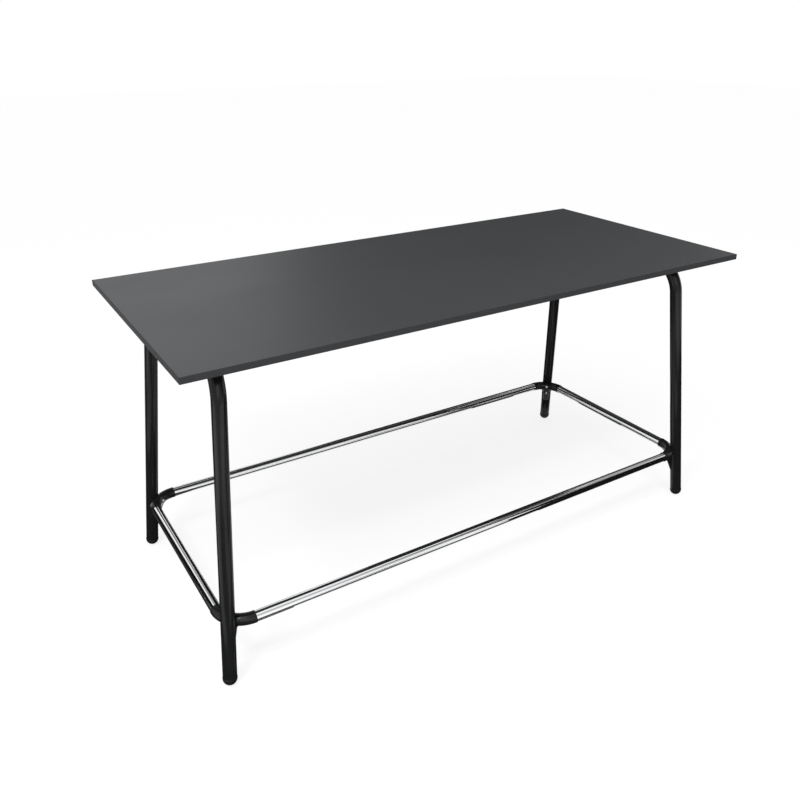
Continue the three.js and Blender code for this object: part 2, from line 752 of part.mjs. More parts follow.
function glide() {
  const socket = STUD_DIAMETER / 2 + HOLE_CLEARANCE;
  const outline = [];
  for (let i = 0; i <= DOME_STEPS; i++) {
    const angle = ((Math.PI / 2) * i) / DOME_STEPS;
    outline.push([glideRadius * Math.sin(angle), -glideRadius * Math.cos(angle)]);
  }
  outline.push([glideRadius, GLIDE_COLLAR - GLIDE_OVERHANG]);
  outline.push([legRadius, GLIDE_COLLAR]);
  outline.push([socket, GLIDE_COLLAR]);
  outline.push([socket, GLIDE_COLLAR - STUD_SOCKET_DEPTH]);
  outline.push([0, GLIDE_COLLAR - STUD_SOCKET_DEPTH]);
  const dome = turned(outline, FOOT_SIDES).applyQuaternion(legTurn);
  const floorSize = 4 * glideRadius;
  const floor = new THREE.BoxGeometry(floorSize, floorSize, glideRadius);
  floor.translate(0, 0, -domeCentreZ - glideRadius / 2);
  return cut(dome, [floor]);
}

CORNERS.forEach((corner, index) => {
  const group = cornerGroup(index, domeCentreZ);
  const leg = new THREE.Group();
  leg.quaternion.copy(legTurn);
  group.add(leg);
  table.add(group);
  addPiece(`leg_insert_${corner.name}`, legInsert(), BLACK_PLASTIC, leg);
  addPiece(`levelling_stud_${corner.name}`, stud(), PALE_STEEL, leg);
  addPiece(`glide_${corner.name}`, glide(), BLACK_PLASTIC, group);
});

export default table;
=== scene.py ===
import math
from collections import Counter

import bmesh
import bpy
from mathutils import Matrix, Vector


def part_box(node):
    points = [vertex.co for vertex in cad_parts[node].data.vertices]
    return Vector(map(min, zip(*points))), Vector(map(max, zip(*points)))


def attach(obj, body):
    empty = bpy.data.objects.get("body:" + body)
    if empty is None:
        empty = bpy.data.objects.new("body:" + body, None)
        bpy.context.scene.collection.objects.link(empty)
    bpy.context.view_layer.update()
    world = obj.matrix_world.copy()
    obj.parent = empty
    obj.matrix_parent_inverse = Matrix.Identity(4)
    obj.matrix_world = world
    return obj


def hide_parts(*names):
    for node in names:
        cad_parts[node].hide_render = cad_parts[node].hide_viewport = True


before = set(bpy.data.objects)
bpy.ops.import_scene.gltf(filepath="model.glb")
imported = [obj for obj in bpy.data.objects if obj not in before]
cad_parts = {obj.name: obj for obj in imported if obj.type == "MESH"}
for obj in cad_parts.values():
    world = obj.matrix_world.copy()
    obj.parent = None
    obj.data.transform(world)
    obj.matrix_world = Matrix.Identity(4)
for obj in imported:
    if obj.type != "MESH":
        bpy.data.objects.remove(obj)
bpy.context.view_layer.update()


# The core of the top is a board of pressed wood chips and resin, 15 mm thick.
# Sheets glued to its faces and bands glued to its edges cover it all over.
class Value:
    """A value that varies over a surface. Sums and products of such values become Math nodes."""

    def __init__(self, nodes, socket):
        self.nodes = nodes
        self.socket = socket

    def maths(self, operation, first, second):
        return self.nodes.node("ShaderNodeMath", {"operation": operation}, {0: first, 1: second})

    def __add__(self, other):
        return self.maths("ADD", self, other)

    def __radd__(self, other):
        return self.maths("ADD", other, self)

    def __sub__(self, other):
        return self.maths("SUBTRACT", self, other)

    def __rsub__(self, other):
        return self.maths("SUBTRACT", other, self)

    def __mul__(self, other):
        return self.maths("MULTIPLY", self, other)

    def __rmul__(self, other):
        return self.maths("MULTIPLY", other, self)


class Nodes:
    """The nodes of one material, or of the studio's surround, and the links between them."""

    def __init__(self, tree):
        self.tree = tree

    def join(self, value, socket):
        if isinstance(value, Value):
            self.tree.links.new(value.socket, socket)
        else:
            socket.default_value = value

    def node(self, kind, settings, sockets, output=0):
        node = self.tree.nodes.new(kind)
        for setting, value in settings.items():
            setattr(node, setting, value)
        for socket, value in sockets.items():
            self.join(value, node.inputs[socket])
        return Value(self, node.outputs[output])


class Finish(Nodes):
    """A finish of the table: one surface shader, and the nodes that vary it from place to place."""

    def __init__(self, name, fixed):
        self.material = bpy.data.materials.new(name)
        self.material.use_nodes = True
        super().__init__(self.material.node_tree)
        self.shader = self.tree.nodes["Principled BSDF"]
        for socket, value in fixed.items():
            self.shader.inputs[socket].default_value = value
        self.place = self.node("ShaderNodeTexCoord", {}, {}, "Object")

    def grain(self, scale, detail, stretch=(1, 1, 1)):
        stretched = self.node("ShaderNodeMapping", {}, {"Vector": self.place, "Scale": stretch})
        return self.node("ShaderNodeTexNoise", {},
                         {"Vector": stretched, "Scale": scale, "Detail": detail})

    def step(self, value, low, high):
        return self.node("ShaderNodeMapRange", {"interpolation_type": "SMOOTHSTEP"},
                         {"Value": value, "From Min": low, "From Max": high})

    def blend(self, share, first, second):
        return self.node("ShaderNodeMix", {"data_type": "RGBA"},
                         {0: share, 6: (*first, 1) if isinstance(first, tuple) else first,
                          7: (*second, 1) if isinstance(second, tuple) else second}, 2)

    def vary(self, colour, roughness, height, depth):
        self.join(colour, self.shader.inputs["Base Color"])
        self.join(roughness, self.shader.inputs["Roughness"])
        relief = self.node("ShaderNodeBump", {}, {"Distance": depth, "Height": height})
        self.join(relief, self.shader.inputs["Normal"])

    def dress(self, *pieces):
        for piece in pieces:
            if not piece.material_slots:
                piece.data.materials.append(self.material)
            for slot in piece.material_slots:
                slot.material = self.material


DARK_CHIP = (0.30, 0.19, 0.095)
PALE_CHIP = (0.50, 0.36, 0.20)
RESIN = (0.22, 0.14, 0.07)

chipboard = Finish("pressed_chips", {"Specular IOR Level": 0.25})
chips = chipboard.node("ShaderNodeTexVoronoi", {}, {"Vector": chipboard.place, "Scale": 260.0}, "Color")
chip_tone = chipboard.node("ShaderNodeSeparateColor", {}, {"Color": chips})
resin = chipboard.grain(scale=40.0, detail=3.0)
chip_colour = chipboard.blend(chip_tone, DARK_CHIP, PALE_CHIP)
chipboard.vary(colour=chipboard.blend(resin * 0.4, chip_colour, RESIN),
               roughness=0.75 + chip_tone * 0.15, height=chip_tone, depth=0.0003)
chipboard.dress(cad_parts["top_core"])


# The upper face is a sheet of high-pressure laminate in anthracite, glued to the board.
# Its press plate left a fine pebbled texture that gives the surface its satin look.
DARK_ANTHRACITE = (0.0351, 0.0370, 0.0396)
PALE_ANTHRACITE = (0.0600, 0.0626, 0.0659)
WIPED_ANTHRACITE = (0.0527, 0.0548, 0.0578)

laminate = Finish("anthracite_laminate", {"Specular IOR Level": 0.42})
pebbles = laminate.grain(scale=950.0, detail=2.0)
speckle = laminate.grain(scale=2600.0, detail=1.0)
wiped = laminate.grain(scale=5.0, detail=4.0, stretch=(0.5, 1.0, 1.0))
sheet_colour = laminate.blend(speckle, DARK_ANTHRACITE, PALE_ANTHRACITE)
laminate.vary(colour=laminate.blend(wiped * 0.35, sheet_colour, WIPED_ANTHRACITE),
              roughness=0.37 + wiped * 0.10 + pebbles * 0.06, height=pebbles, depth=0.000035)
laminate.dress(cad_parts["top_laminate"])


# The lower face carries a plainer sheet of the same thickness, which keeps the board from warping.
# It is duller than the face sheet and shows the paper's fibres.
DARK_PAPER = (0.020, 0.0205, 0.022)
PALE_PAPER = (0.034, 0.035, 0.037)

balancing_sheet = Finish("balancing_sheet", {"Specular IOR Level": 0.3})
fibres = balancing_sheet.grain(scale=320.0, detail=3.0, stretch=(0.15, 1.0, 1.0))
patches = balancing_sheet.grain(scale=9.0, detail=3.0)
balancing_sheet.vary(colour=balancing_sheet.blend(fibres, DARK_PAPER, PALE_PAPER),
                     roughness=0.52 + patches * 0.12, height=fibres, depth=0.00003)
balancing_sheet.dress(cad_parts["underside_laminate"])


# Bands of solid-coloured plastic 2 mm thick are glued round the four edges and trimmed flush.
# They were extruded, so faint lines run along them, and the trimming cutter left the rims satin.
DARK_BAND = (0.028, 0.029, 0.031)
PALE_BAND = (0.046, 0.0475, 0.050)

banding = Finish("edge_banding", {"Specular IOR Level": 0.1})
drawn_lines = banding.grain(scale=1.0, detail=2.0, stretch=(4.0, 4.0, 2400.0))
mottle = banding.grain(scale=60.0, detail=3.0)
banding.vary(colour=banding.blend(drawn_lines * 0.6 + mottle * 0.4, DARK_BAND, PALE_BAND),
             roughness=0.52 + drawn_lines * 0.12, height=drawn_lines, depth=0.00002)
banding.dress(*[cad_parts["edge_band_" + side] for side in ("front", "back", "left", "right")])


# Two pressed steel channels stiffen the thin board over the span between the frames.
# Each is one strip of sheet folded to a hat shape and coated black.
CHANNEL_AXIS = 0.180
CHANNEL_END = 0.7055
CROWN_HALF = 0.013
CROWN_HEIGHT = 0.8651
FLANGE_FACE = 0.8876
WEB_SLANT = 0.004
FLANGE_WIDTH = 0.018
FOLD_RADIUS = 0.0035
SHEET = 0.0015
BORE_RADIUS = 0.0028
DRILL_REACH = 0.010
SCREW_NUMBERS = range(1, 5)
MERGE_DISTANCE = 0.000002
SLIVER_WIDTH = 0.000005
SAME_PLACE = 0.0001
DARK_POWDER = (0.0075, 0.0078, 0.0084)
PALE_POWDER = (0.0130, 0.0133, 0.0141)


def take(*pieces):
    """Leaves only these pieces selected, in object mode, with the last one active."""
    if bpy.context.mode != "OBJECT":
        bpy.ops.object.mode_set(mode="OBJECT")
    bpy.ops.object.select_all(action="DESELECT")
    for piece in pieces:
        piece.select_set(True)
        bpy.context.view_layer.objects.active = piece


def start(name, primitive, **size):
    """Adds a primitive, settles its place into its mesh and opens it for editing."""
    take()
    primitive(**size)
    piece = bpy.context.object
    piece.name = piece.data.name = name
    bpy.ops.object.transform_apply(location=True, rotation=True, scale=True)
    bpy.ops.object.mode_set(mode="EDIT")
    bpy.ops.mesh.select_mode(type="VERT")
    bpy.ops.mesh.select_all(action="SELECT")
    return piece


def pick(kind, wanted):
    """Selects the vertices, edges or faces of the piece being edited that are wanted."""
    bpy.ops.mesh.select_mode(type={"verts": "VERT", "edges": "EDGE", "faces": "FACE"}[kind])
    bpy.ops.mesh.select_all(action="DESELECT")
    shape = bmesh.from_edit_mesh(bpy.context.edit_object.data)
    for element in getattr(shape, kind):
        element.select_set(bool(wanted(element)))
    shape.select_flush_mode()
    bmesh.update_edit_mesh(bpy.context.edit_object.data)


def middle(element):
    """The middle of an edge or face."""
    return sum((vertex.co for vertex in element.verts), Vector()) / len(element.verts)


def extrude(*shift):
    """Draws the selection out by a shift, which may be turned or scaled afterwards."""
    bpy.ops.mesh.extrude_region_move(TRANSFORM_OT_translate={"value": shift})


def close_up():
    """Merges doubles, closes what is open and turns every face outwards."""
    bpy.ops.mesh.select_all(action="SELECT")
    bpy.ops.mesh.remove_doubles(threshold=MERGE_DISTANCE)
    bpy.ops.mesh.fill_holes(sides=0)
    bpy.ops.mesh.select_all(action="SELECT")
    bpy.ops.mesh.normals_make_consistent(inside=False)


def work(piece, kind, **settings):
    """Puts a modifier on a piece and applies it."""
    take(piece)
    bpy.ops.object.modifier_add(type=kind)
    modifier = piece.modifiers[-1]
    for setting, value in settings.items():
        setattr(modifier, setting, value)
    bpy.ops.object.modifier_apply(modifier=modifier.name)


def smooth(piece, degrees=35):
    """Shades a piece smooth across its rounded edges, with its large faces kept true."""
    take(piece)
    bpy.ops.object.shade_smooth_by_angle(angle=math.radians(degrees))
    work(piece, "WEIGHTED_NORMAL", keep_sharp=True, weight=80)


def move(piece, place):
    """Sets a piece in its place and settles that place into its mesh."""
    take(piece)
    piece.matrix_world = place
    bpy.context.view_layer.update()
    bpy.ops.object.transform_apply(location=True, rotation=True, scale=True)
    return piece


def copy_to(piece, name, place):
    """A copy of a piece with a mesh of its own, set in its place."""
    take(piece)
    bpy.ops.object.duplicate(linked=False)
    twin = bpy.context.object
    twin.name = twin.data.name = name
    return move(twin, place)


def put_away(*pieces):
    """Removes patterns and tools that aren't pieces of the table."""
    for piece in pieces:
        bpy.data.objects.remove(piece)


def turned(name, sides, rings):
    """A round piece on the Z axis: a ring is drawn, then drawn out and scaled from ring to ring."""
    radius, height = rings[0]
    piece = start(name, bpy.ops.mesh.primitive_circle_add, vertices=sides, radius=radius,
                  location=(0, 0, height))
    for next_radius, next_height in rings[1:]:
        extrude(0, 0, next_height - height)
        bpy.ops.transform.resize(value=(next_radius / radius, next_radius / radius, 1),
                                 center_override=(0, 0, next_height))
        radius, height = next_radius, next_height
    close_up()
    bpy.ops.object.mode_set(mode="OBJECT")
    return piece


def carve(piece, operation, *tools):
    """Cuts the tools out of a piece or grows it by them, then clears the slivers and the tools away."""
    for tool in tools:
        work(piece, "BOOLEAN", operation=operation, solver="EXACT", object=tool)
    put_away(*tools)
    take(piece)
    bpy.ops.object.mode_set(mode="EDIT")
    bpy.ops.mesh.select_all(action="SELECT")
    bpy.ops.mesh.remove_doubles(threshold=SLIVER_WIDTH)
    bpy.ops.mesh.dissolve_degenerate(threshold=SLIVER_WIDTH)
    bpy.ops.object.mode_set(mode="OBJECT")


def over(node, height):
    """The place of an upright node, at a height."""
    low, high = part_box(node)
    return Matrix.Translation(((low.x + high.x) / 2, (low.y + high.y) / 2, height))


def fit(piece, finish, body, node):
    """Gives a piece its finish and the body that carries it, and hides the node that it stands for."""
    finish.dress(piece)
    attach(piece, body)
    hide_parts(node)


powder_coat = Finish("black_powder_coat", {"Specular IOR Level": 0.20})
peel = powder_coat.grain(scale=1100.0, detail=2.0)
pooled = powder_coat.grain(scale=24.0, detail=3.0)
powder_coat.vary(colour=powder_coat.blend(pooled * 0.6 + peel * 0.4, DARK_POWDER, PALE_POWDER),
                 roughness=0.11 + pooled * 0.05 + peel * 0.05, height=peel, depth=0.000012)

channel = start("channel", bpy.ops.mesh.primitive_plane_add, size=2, location=(0, 0, CROWN_HEIGHT))
bpy.ops.transform.resize(value=(CHANNEL_END, CROWN_HALF, 1), center_override=(0, 0, CROWN_HEIGHT))
for side in (1, -1):
    pick("edges", lambda edge: middle(edge).y * side > CROWN_HALF - SAME_PLACE)
    extrude(0, side * WEB_SLANT, FLANGE_FACE - CROWN_HEIGHT)
    extrude(0, side * FLANGE_WIDTH, 0)
pick("edges", lambda edge: len(edge.link_faces) == 2)
bpy.ops.mesh.bevel(offset=FOLD_RADIUS, segments=5, affect="EDGES")
bpy.ops.mesh.select_all(action="SELECT")
bpy.ops.mesh.normals_make_consistent(inside=False)
# The crown has to face down, so that the sheet gets its thickness on the inside.
pick("faces", lambda face: middle(face).z < CROWN_HEIGHT + SAME_PLACE)
crown_up = any(face.normal.z > 0 for face in bmesh.from_edit_mesh(channel.data).faces if face.select)
bpy.ops.mesh.select_all(action="SELECT")
if crown_up:
    bpy.ops.mesh.flip_normals()
bpy.ops.object.mode_set(mode="OBJECT")
work(channel, "SOLIDIFY", thickness=SHEET, offset=-1, use_even_offset=True)
drill = turned("drill", 32, [(BORE_RADIUS, -DRILL_REACH), (BORE_RADIUS, DRILL_REACH)])
for end, side in (("front", -1), ("back", 1)):
    stiffener = copy_to(channel, "channel_" + end, Matrix.Translation((0, side * CHANNEL_AXIS, 0)))
    bores = [copy_to(drill, "bore", over(f"stiffener_screw_{end}_{number}", FLANGE_FACE))
             for number in SCREW_NUMBERS]
    carve(stiffener, "DIFFERENCE", *bores)
    smooth(stiffener)
    fit(stiffener, powder_coat, "table", "stiffener_" + end)
put_away(channel)


# Pan-head wood screws of plated steel hold the channels, and later the frames, to the board.
# Each has a cross recess, a thread that bites 12 mm into the board and a short point.
SCREW_SEAT = 0.8873
WOOD_SCREW_PROFILE = [
    (0.0003, 0.0150), (0.0019, 0.0116), (0.0019, 0.0), (0.0047, 0.0), (0.0050, -0.0004),
    (0.0050, -0.0012), (0.0047, -0.0019), (0.0040, -0.0025), (0.0028, -0.0029), (0.0010, -0.0030)]
RECESS_MIDDLE = -0.0026
RECESS_SIZE = (0.0052, 0.0011, 0.0026)
RECESS_TAPER = 0.55
DULL_ZINC = (0.56, 0.565, 0.57)
BRIGHT_ZINC = (0.74, 0.74, 0.735)


def weld(piece, *others):
    """Makes the others part of a piece."""
    take(*others, piece)
    bpy.ops.object.join()


def thread(name, root, crest, pitch, low, turns):
    """A helical ridge: a triangle swept round the Z axis while it climbs."""
    # An even-sided triangle is 1.5 times as high as the radius of the circle round it.
    rise = (crest - root) / 1.5
    ridge = start(name, bpy.ops.mesh.primitive_circle_add, vertices=3, radius=rise,
                  location=(root + rise / 2, 0, low), rotation=(math.pi / 2, math.pi / 2, 0))
    bpy.ops.object.mode_set(mode="OBJECT")
    work(ridge, "SCREW", axis="Z", angle=math.tau, screw_offset=pitch, steps=20, render_steps=20,
         iterations=turns, use_smooth_shade=True)
    take(ridge)
    bpy.ops.object.mode_set(mode="EDIT")
    close_up()
    bpy.ops.object.mode_set(mode="OBJECT")
    return ridge


zinc = Finish("plated_steel", {"Metallic": 1.0})
crystals = zinc.grain(scale=420.0, detail=3.0)
handled = zinc.grain(scale=70.0, detail=2.0)
zinc.vary(colour=zinc.blend(crystals, DULL_ZINC, BRIGHT_ZINC),
          roughness=0.22 + handled * 0.16, height=crystals, depth=0.000012)

wood_screw = turned("wood_screw", 32, WOOD_SCREW_PROFILE)
bar = start("recess_bar", bpy.ops.mesh.primitive_cube_add, size=1, location=(0, 0, RECESS_MIDDLE))
bpy.ops.transform.resize(value=RECESS_SIZE, center_override=(0, 0, RECESS_MIDDLE))
pick("verts", lambda vertex: vertex.co.z > RECESS_MIDDLE)
bpy.ops.transform.resize(value=(RECESS_TAPER, RECESS_TAPER, 1), center_override=(0, 0, RECESS_MIDDLE))
bpy.ops.object.mode_set(mode="OBJECT")
cross_bar = copy_to(bar, "recess_cross_bar", Matrix.Rotation(math.pi / 2, 4, "Z"))
carve(wood_screw, "DIFFERENCE", bar, cross_bar)
weld(wood_screw, thread("wood_thread", root=0.0018, crest=0.0025, pitch=0.0020, low=0.0030, turns=4))
smooth(wood_screw)
for end in ("front", "back"):
    for number in SCREW_NUMBERS:
        node = f"stiffener_screw_{end}_{number}"
        screw = copy_to(wood_screw, f"channel_screw_{end}_{number}", over(node, SCREW_SEAT))
        fit(screw, zinc, "table", node)


# Each end frame is one steel tube, 38 mm across with a 2 mm wall, bent twice to an upside-down U.
# The legs splay 6 degrees both ways, and the whole frame is powder coated black after welding.
TUBE_RADIUS = 0.019
TUBE_WALL = 0.002
BEND_RADIUS = 0.108
BEND_MARGIN = 0.004
LEAN = math.tan(math.radians(6))
LEG_UP = Vector((LEAN, LEAN, 1)).normalized()
CROSS_TUBE = Vector((-0.7745, -0.271, 0.8658))
TUBE_END = 0.02355

foot_end = CROSS_TUBE - LEG_UP * ((CROSS_TUBE.z - TUBE_END) / LEG_UP.z)
bend_turn = LEG_UP.angle(Vector((0, 1, 0)))
bend_reach = BEND_RADIUS * math.tan(bend_turn / 2)
bend_start = CROSS_TUBE - LEG_UP * bend_reach
bend_axis = LEG_UP.cross(Vector((0, 1, 0))).normalized()
bend_centre = bend_start + bend_axis.cross(LEG_UP) * BEND_RADIUS

bent_tube = start("bent_tube_left", bpy.ops.mesh.primitive_circle_add, vertices=64, radius=TUBE_RADIUS,
                  location=foot_end, rotation=LEG_UP.to_track_quat("Z", "Y").to_euler())
# A short ring on either side of the bend keeps its shading off the straight lengths.
extrude(*(bend_start - LEG_UP * BEND_MARGIN - foot_end))
extrude(*(LEG_UP * BEND_MARGIN))
bpy.ops.mesh.spin(steps=28, angle=-bend_turn, center=bend_centre, axis=bend_axis)
extrude(0, BEND_MARGIN, 0)
extrude(0, -CROSS_TUBE.y - bend_reach - BEND_MARGIN, 0)
bpy.ops.object.mode_set(mode="OBJECT")
work(bent_tube, "MIRROR", use_axis=(False, True, False), merge_threshold=SAME_PLACE)
take(bent_tube)
bpy.ops.object.mode_set(mode="EDIT")
bpy.ops.mesh.select_all(action="SELECT")
bpy.ops.mesh.remove_doubles(threshold=MERGE_DISTANCE)
bpy.ops.mesh.normals_make_consistent(inside=False)
bpy.ops.object.mode_set(mode="OBJECT")
work(bent_tube, "SOLIDIFY", thickness=TUBE_WALL, offset=-1, use_even_offset=True)
smooth(bent_tube)
other_tube = copy_to(bent_tube, "bent_tube_right", Matrix.Rotation(math.pi, 4, "Z"))
fit(bent_tube, powder_coat, "table", "leg_frame_left")
fit(other_tube, powder_coat, "table", "leg_frame_right")


# Two flat steel plates are welded across the crest of each cross tube, under the board.
# A rippled weld bead runs along both sides of the tube, and two wood screws go up through each.
PLATE_LENGTH = 0.096
PLATE_WIDTH = 0.040
PLATE_FOOT = 0.8851
PLATE_HEAD = 0.8891
PLATE_AXIS = 0.120
PLATE_CORNER = 0.008
PLATE_RIM = 0.0005
PLATE_SCREWS = 0.070
SCREW_CLEARANCE = 0.0003
BEAD_OFFSET = 0.0088
BEAD_LEVEL = 0.8838
BEAD_RADIUS = 0.0020
BEAD_HALF = 0.0185
BEAD_TIP = [(0.0016, 0.0190), (0.0008, 0.0194)]
RIPPLE_DEPTH = 0.00022
RIPPLE_STEP = 0.0005
RIPPLE_STEPS = 75
LEAST_CLIMB = 0.001


def climbs(edge):
    """Whether an edge runs up or down, by a millimetre or more."""
    first, last = edge.verts
    return abs(first.co.z - last.co.z) > LEAST_CLIMB


plate_level = (PLATE_FOOT + PLATE_HEAD) / 2
plate_half = (PLATE_HEAD - PLATE_FOOT) / 2
plate = start("plate", bpy.ops.mesh.primitive_cube_add, size=1, location=(0, 0, plate_level))
bpy.ops.transform.resize(value=(PLATE_LENGTH, PLATE_WIDTH, PLATE_HEAD - PLATE_FOOT),
                         center_override=(0, 0, plate_level))
pick("edges", climbs)
bpy.ops.mesh.bevel(offset=PLATE_CORNER, segments=8, affect="EDGES")
pick("edges", lambda edge: abs(abs(middle(edge).z - plate_level) - plate_half) < SAME_PLACE)
bpy.ops.mesh.bevel(offset=PLATE_RIM, segments=2, affect="EDGES")
bpy.ops.object.mode_set(mode="OBJECT")
bores = [copy_to(drill, "bore", Matrix.Translation((side * PLATE_SCREWS / 2, 0, plate_level)))
         for side in (-1, 1)]
carve(plate, "DIFFERENCE", *bores)
ripples = [(BEAD_RADIUS + RIPPLE_DEPTH * math.cos(step * math.pi / 2), -BEAD_HALF + step * RIPPLE_STEP)
           for step in range(RIPPLE_STEPS)]
bead_start = [(radius, -reach) for radius, reach in reversed(BEAD_TIP)]
bead = turned("bead", 16, bead_start + ripples + BEAD_TIP)
lay_down = Matrix.Rotation(math.pi / 2, 4, "X")
beads = [copy_to(bead, "bead_side", Matrix.Translation((side * BEAD_OFFSET, 0, BEAD_LEVEL)) @ lay_down)
         for side in (-1, 1)]
put_away(bead)
weld(plate, *beads)
smooth(plate)
for side, across in (("left", -1), ("right", 1)):
    for end, along in (("front", -1), ("back", 1)):
        spot = Matrix.Translation((-across * CROSS_TUBE.x, along * PLATE_AXIS, 0))
        welded = copy_to(plate, f"welded_plate_{side}_{end}", spot)
        fit(welded, powder_coat, "table", f"fixing_plate_{side}_{end}")
        for place in ("inner", "outer"):
            node = f"fixing_screw_{side}_{end}_{place}"
            seat = over(node, PLATE_FOOT - SCREW_CLEARANCE)
            screw = copy_to(wood_screw, f"plate_screw_{side}_{end}_{place}", seat)
            fit(screw, zinc, "table", node)
put_away(plate, wood_screw, drill)


# Four chromed steel tubes, 30 mm across with a 1.5 mm wall, make the foot ring.
# They were polished before plating and push over the spigots of the corner elbows.
RAIL_RADIUS = 0.015
RAIL_WALL = 0.0015
RAIL_RIM = 0.0004
DIM_CHROME = (0.80, 0.805, 0.82)
BRIGHT_CHROME = (0.87, 0.875, 0.885)

chrome = Finish("chromed_tube", {"Metallic": 1.0})
smudges = chrome.grain(scale=16.0, detail=4.0)
polish = chrome.grain(scale=500.0, detail=2.0)
chrome.vary(colour=chrome.blend(smudges, DIM_CHROME, BRIGHT_CHROME),
            roughness=0.045 + smudges * 0.040, height=polish, depth=0.000001)

for side in ("front", "back", "left", "right"):
    node = "foot_rail_" + side
    low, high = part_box(node)
    centre = (low + high) / 2
    lengthwise = side in ("front", "back")
    length = high.x - low.x if lengthwise else high.y - low.y
    rail = start("rail_tube_" + side, bpy.ops.mesh.primitive_cylinder_add, vertices=128, radius=RAIL_RADIUS,
                 depth=length, end_fill_type="NOTHING", location=centre,
                 rotation=(0, math.pi / 2, 0) if lengthwise else (math.pi / 2, 0, 0))
    bpy.ops.object.mode_set(mode="OBJECT")
    work(rail, "SOLIDIFY", thickness=RAIL_WALL, offset=-1)
    work(rail, "BEVEL", width=RAIL_RIM, segments=2, limit_method="ANGLE", angle_limit=math.radians(60))
    smooth(rail)
    fit(rail, chrome, "table", node)


# A cast elbow joins the rails at each leg: a fat quarter bend that runs past the leg's inner side,
# with a tongue below it that tapers down the leg. It is hollowed to the tube and coated black.
RAIL_HEIGHT = 0.176
RAIL_OUTSET = 0.0055
ELBOW_RADIUS = 0.0165
ELBOW_BEND = 0.077
ARM_END = 0.073
ARM_SPARE = 0.004
SPIGOT_RADIUS = 0.0132
SPIGOT_LENGTH = 0.032
SPIGOT_ROOT = 0.008
SPIGOT_CHAMFER = 0.002
TONGUE_TOP = Vector((0.0392, 0, -0.0067))
TONGUE_END = Vector((0.00885, 0, -0.075))
TONGUE_HALF = 0.012
TONGUE_END_HALF = 0.010
TONGUE_START = -0.0080
TONGUE_ROUND = 0.005
FACE_MARGIN = 0.002
ROOT_FILLET = 0.009
FILLET_STEPS = 6
BEND_INSET = 0.024116
# A screw's seat has its rise along the leg and its reach from the leg's middle line.
UPPER_SEAT = (0.005972, 0.037975)
LOWER_SEAT = (-0.030028, 0.029466)
SEAT_RADIUS = 0.0063
SEAT_DEPTH = 0.02
HOLLOW_RADIUS = 0.0193
HOLLOW_REACH = 0.16
VOXEL = 0.0010
BLEND_LEVEL = -0.018
BLEND_SPAN = 0.020
BLEND_HALF = 0.022
BLEND_FADE = 0.010
BLEND_GAIN = 2.5
CUT_TOLERANCE = 0.000001
CORNERS = {"front_left": (-1, -1), "front_right": (1, -1), "back_right": (1, 1), "back_left": (-1, 1)}


def at_leg(corner, height):
    """A corner's own axes, both pointing inwards, set on the leg's middle line at a height."""
    across, along = CORNERS[corner]
    spread = LEAN * (CROSS_TUBE.z - height)
    quarter = list(CORNERS).index(corner) * math.pi / 2
    return (Matrix.Translation((across * (spread - CROSS_TUBE.x), along * (spread - CROSS_TUBE.y), height))
            @ Matrix.Rotation(quarter, 4, "Z"))


to_diagonal = Matrix.Rotation(math.pi / 4, 4, "Z")
along_leg = LEG_UP.to_track_quat("Z", "Y").to_matrix().to_4x4()
leg_in = LEAN * math.sqrt(2)
leg_lean = math.atan(leg_in)


def at_screw(rise, reach):
    """Axes on the leg's middle line whose Z runs inwards along an elbow screw, square to the leg."""
    inward = to_diagonal @ Matrix.Rotation(math.pi / 2 + leg_lean, 4, "Y")
    return Matrix.Translation(LEG_UP * rise) @ inward @ Matrix.Translation((0, 0, reach))


bend_middle = Vector((ELBOW_BEND - RAIL_OUTSET, ELBOW_BEND - RAIL_OUTSET, 0))
elbow = start("elbow", bpy.ops.mesh.primitive_circle_add, vertices=72, radius=ELBOW_RADIUS,
              location=(ARM_END + ARM_SPARE, -RAIL_OUTSET, 0), rotation=(0, math.pi / 2, 0))
extrude(bend_middle.x - ARM_END - ARM_SPARE, 0, 0)
bpy.ops.mesh.spin(steps=36, angle=math.pi / 2, center=bend_middle, axis=(0, 0, 1))
extrude(0, ARM_END + ARM_SPARE - bend_middle.y, 0)
close_up()
bpy.ops.object.mode_set(mode="OBJECT")

slope = (TONGUE_TOP.x - TONGUE_END.x) / (TONGUE_TOP.z - TONGUE_END.z)


def tongue_section(height, tuck):
    """Middle and half depth of the tongue at a height: from its sloping face in to the leg's middle line,
    or with tuck 1 only to the middle of the bend."""
    face = TONGUE_END.x + slope * (height - TONGUE_END.z)
    back = leg_in * height * (1 - tuck) + BEND_INSET * tuck
    return (face + back) / 2, (face - back) / 2


def on_face(edge):
    """Whether an edge runs down the tongue's sloping face, below the bend."""
    spot = middle(edge)
    inner = tongue_section(spot.z, 0)[0]
    return climbs(edge) and spot.x > inner + FACE_MARGIN and spot.z < -ELBOW_RADIUS


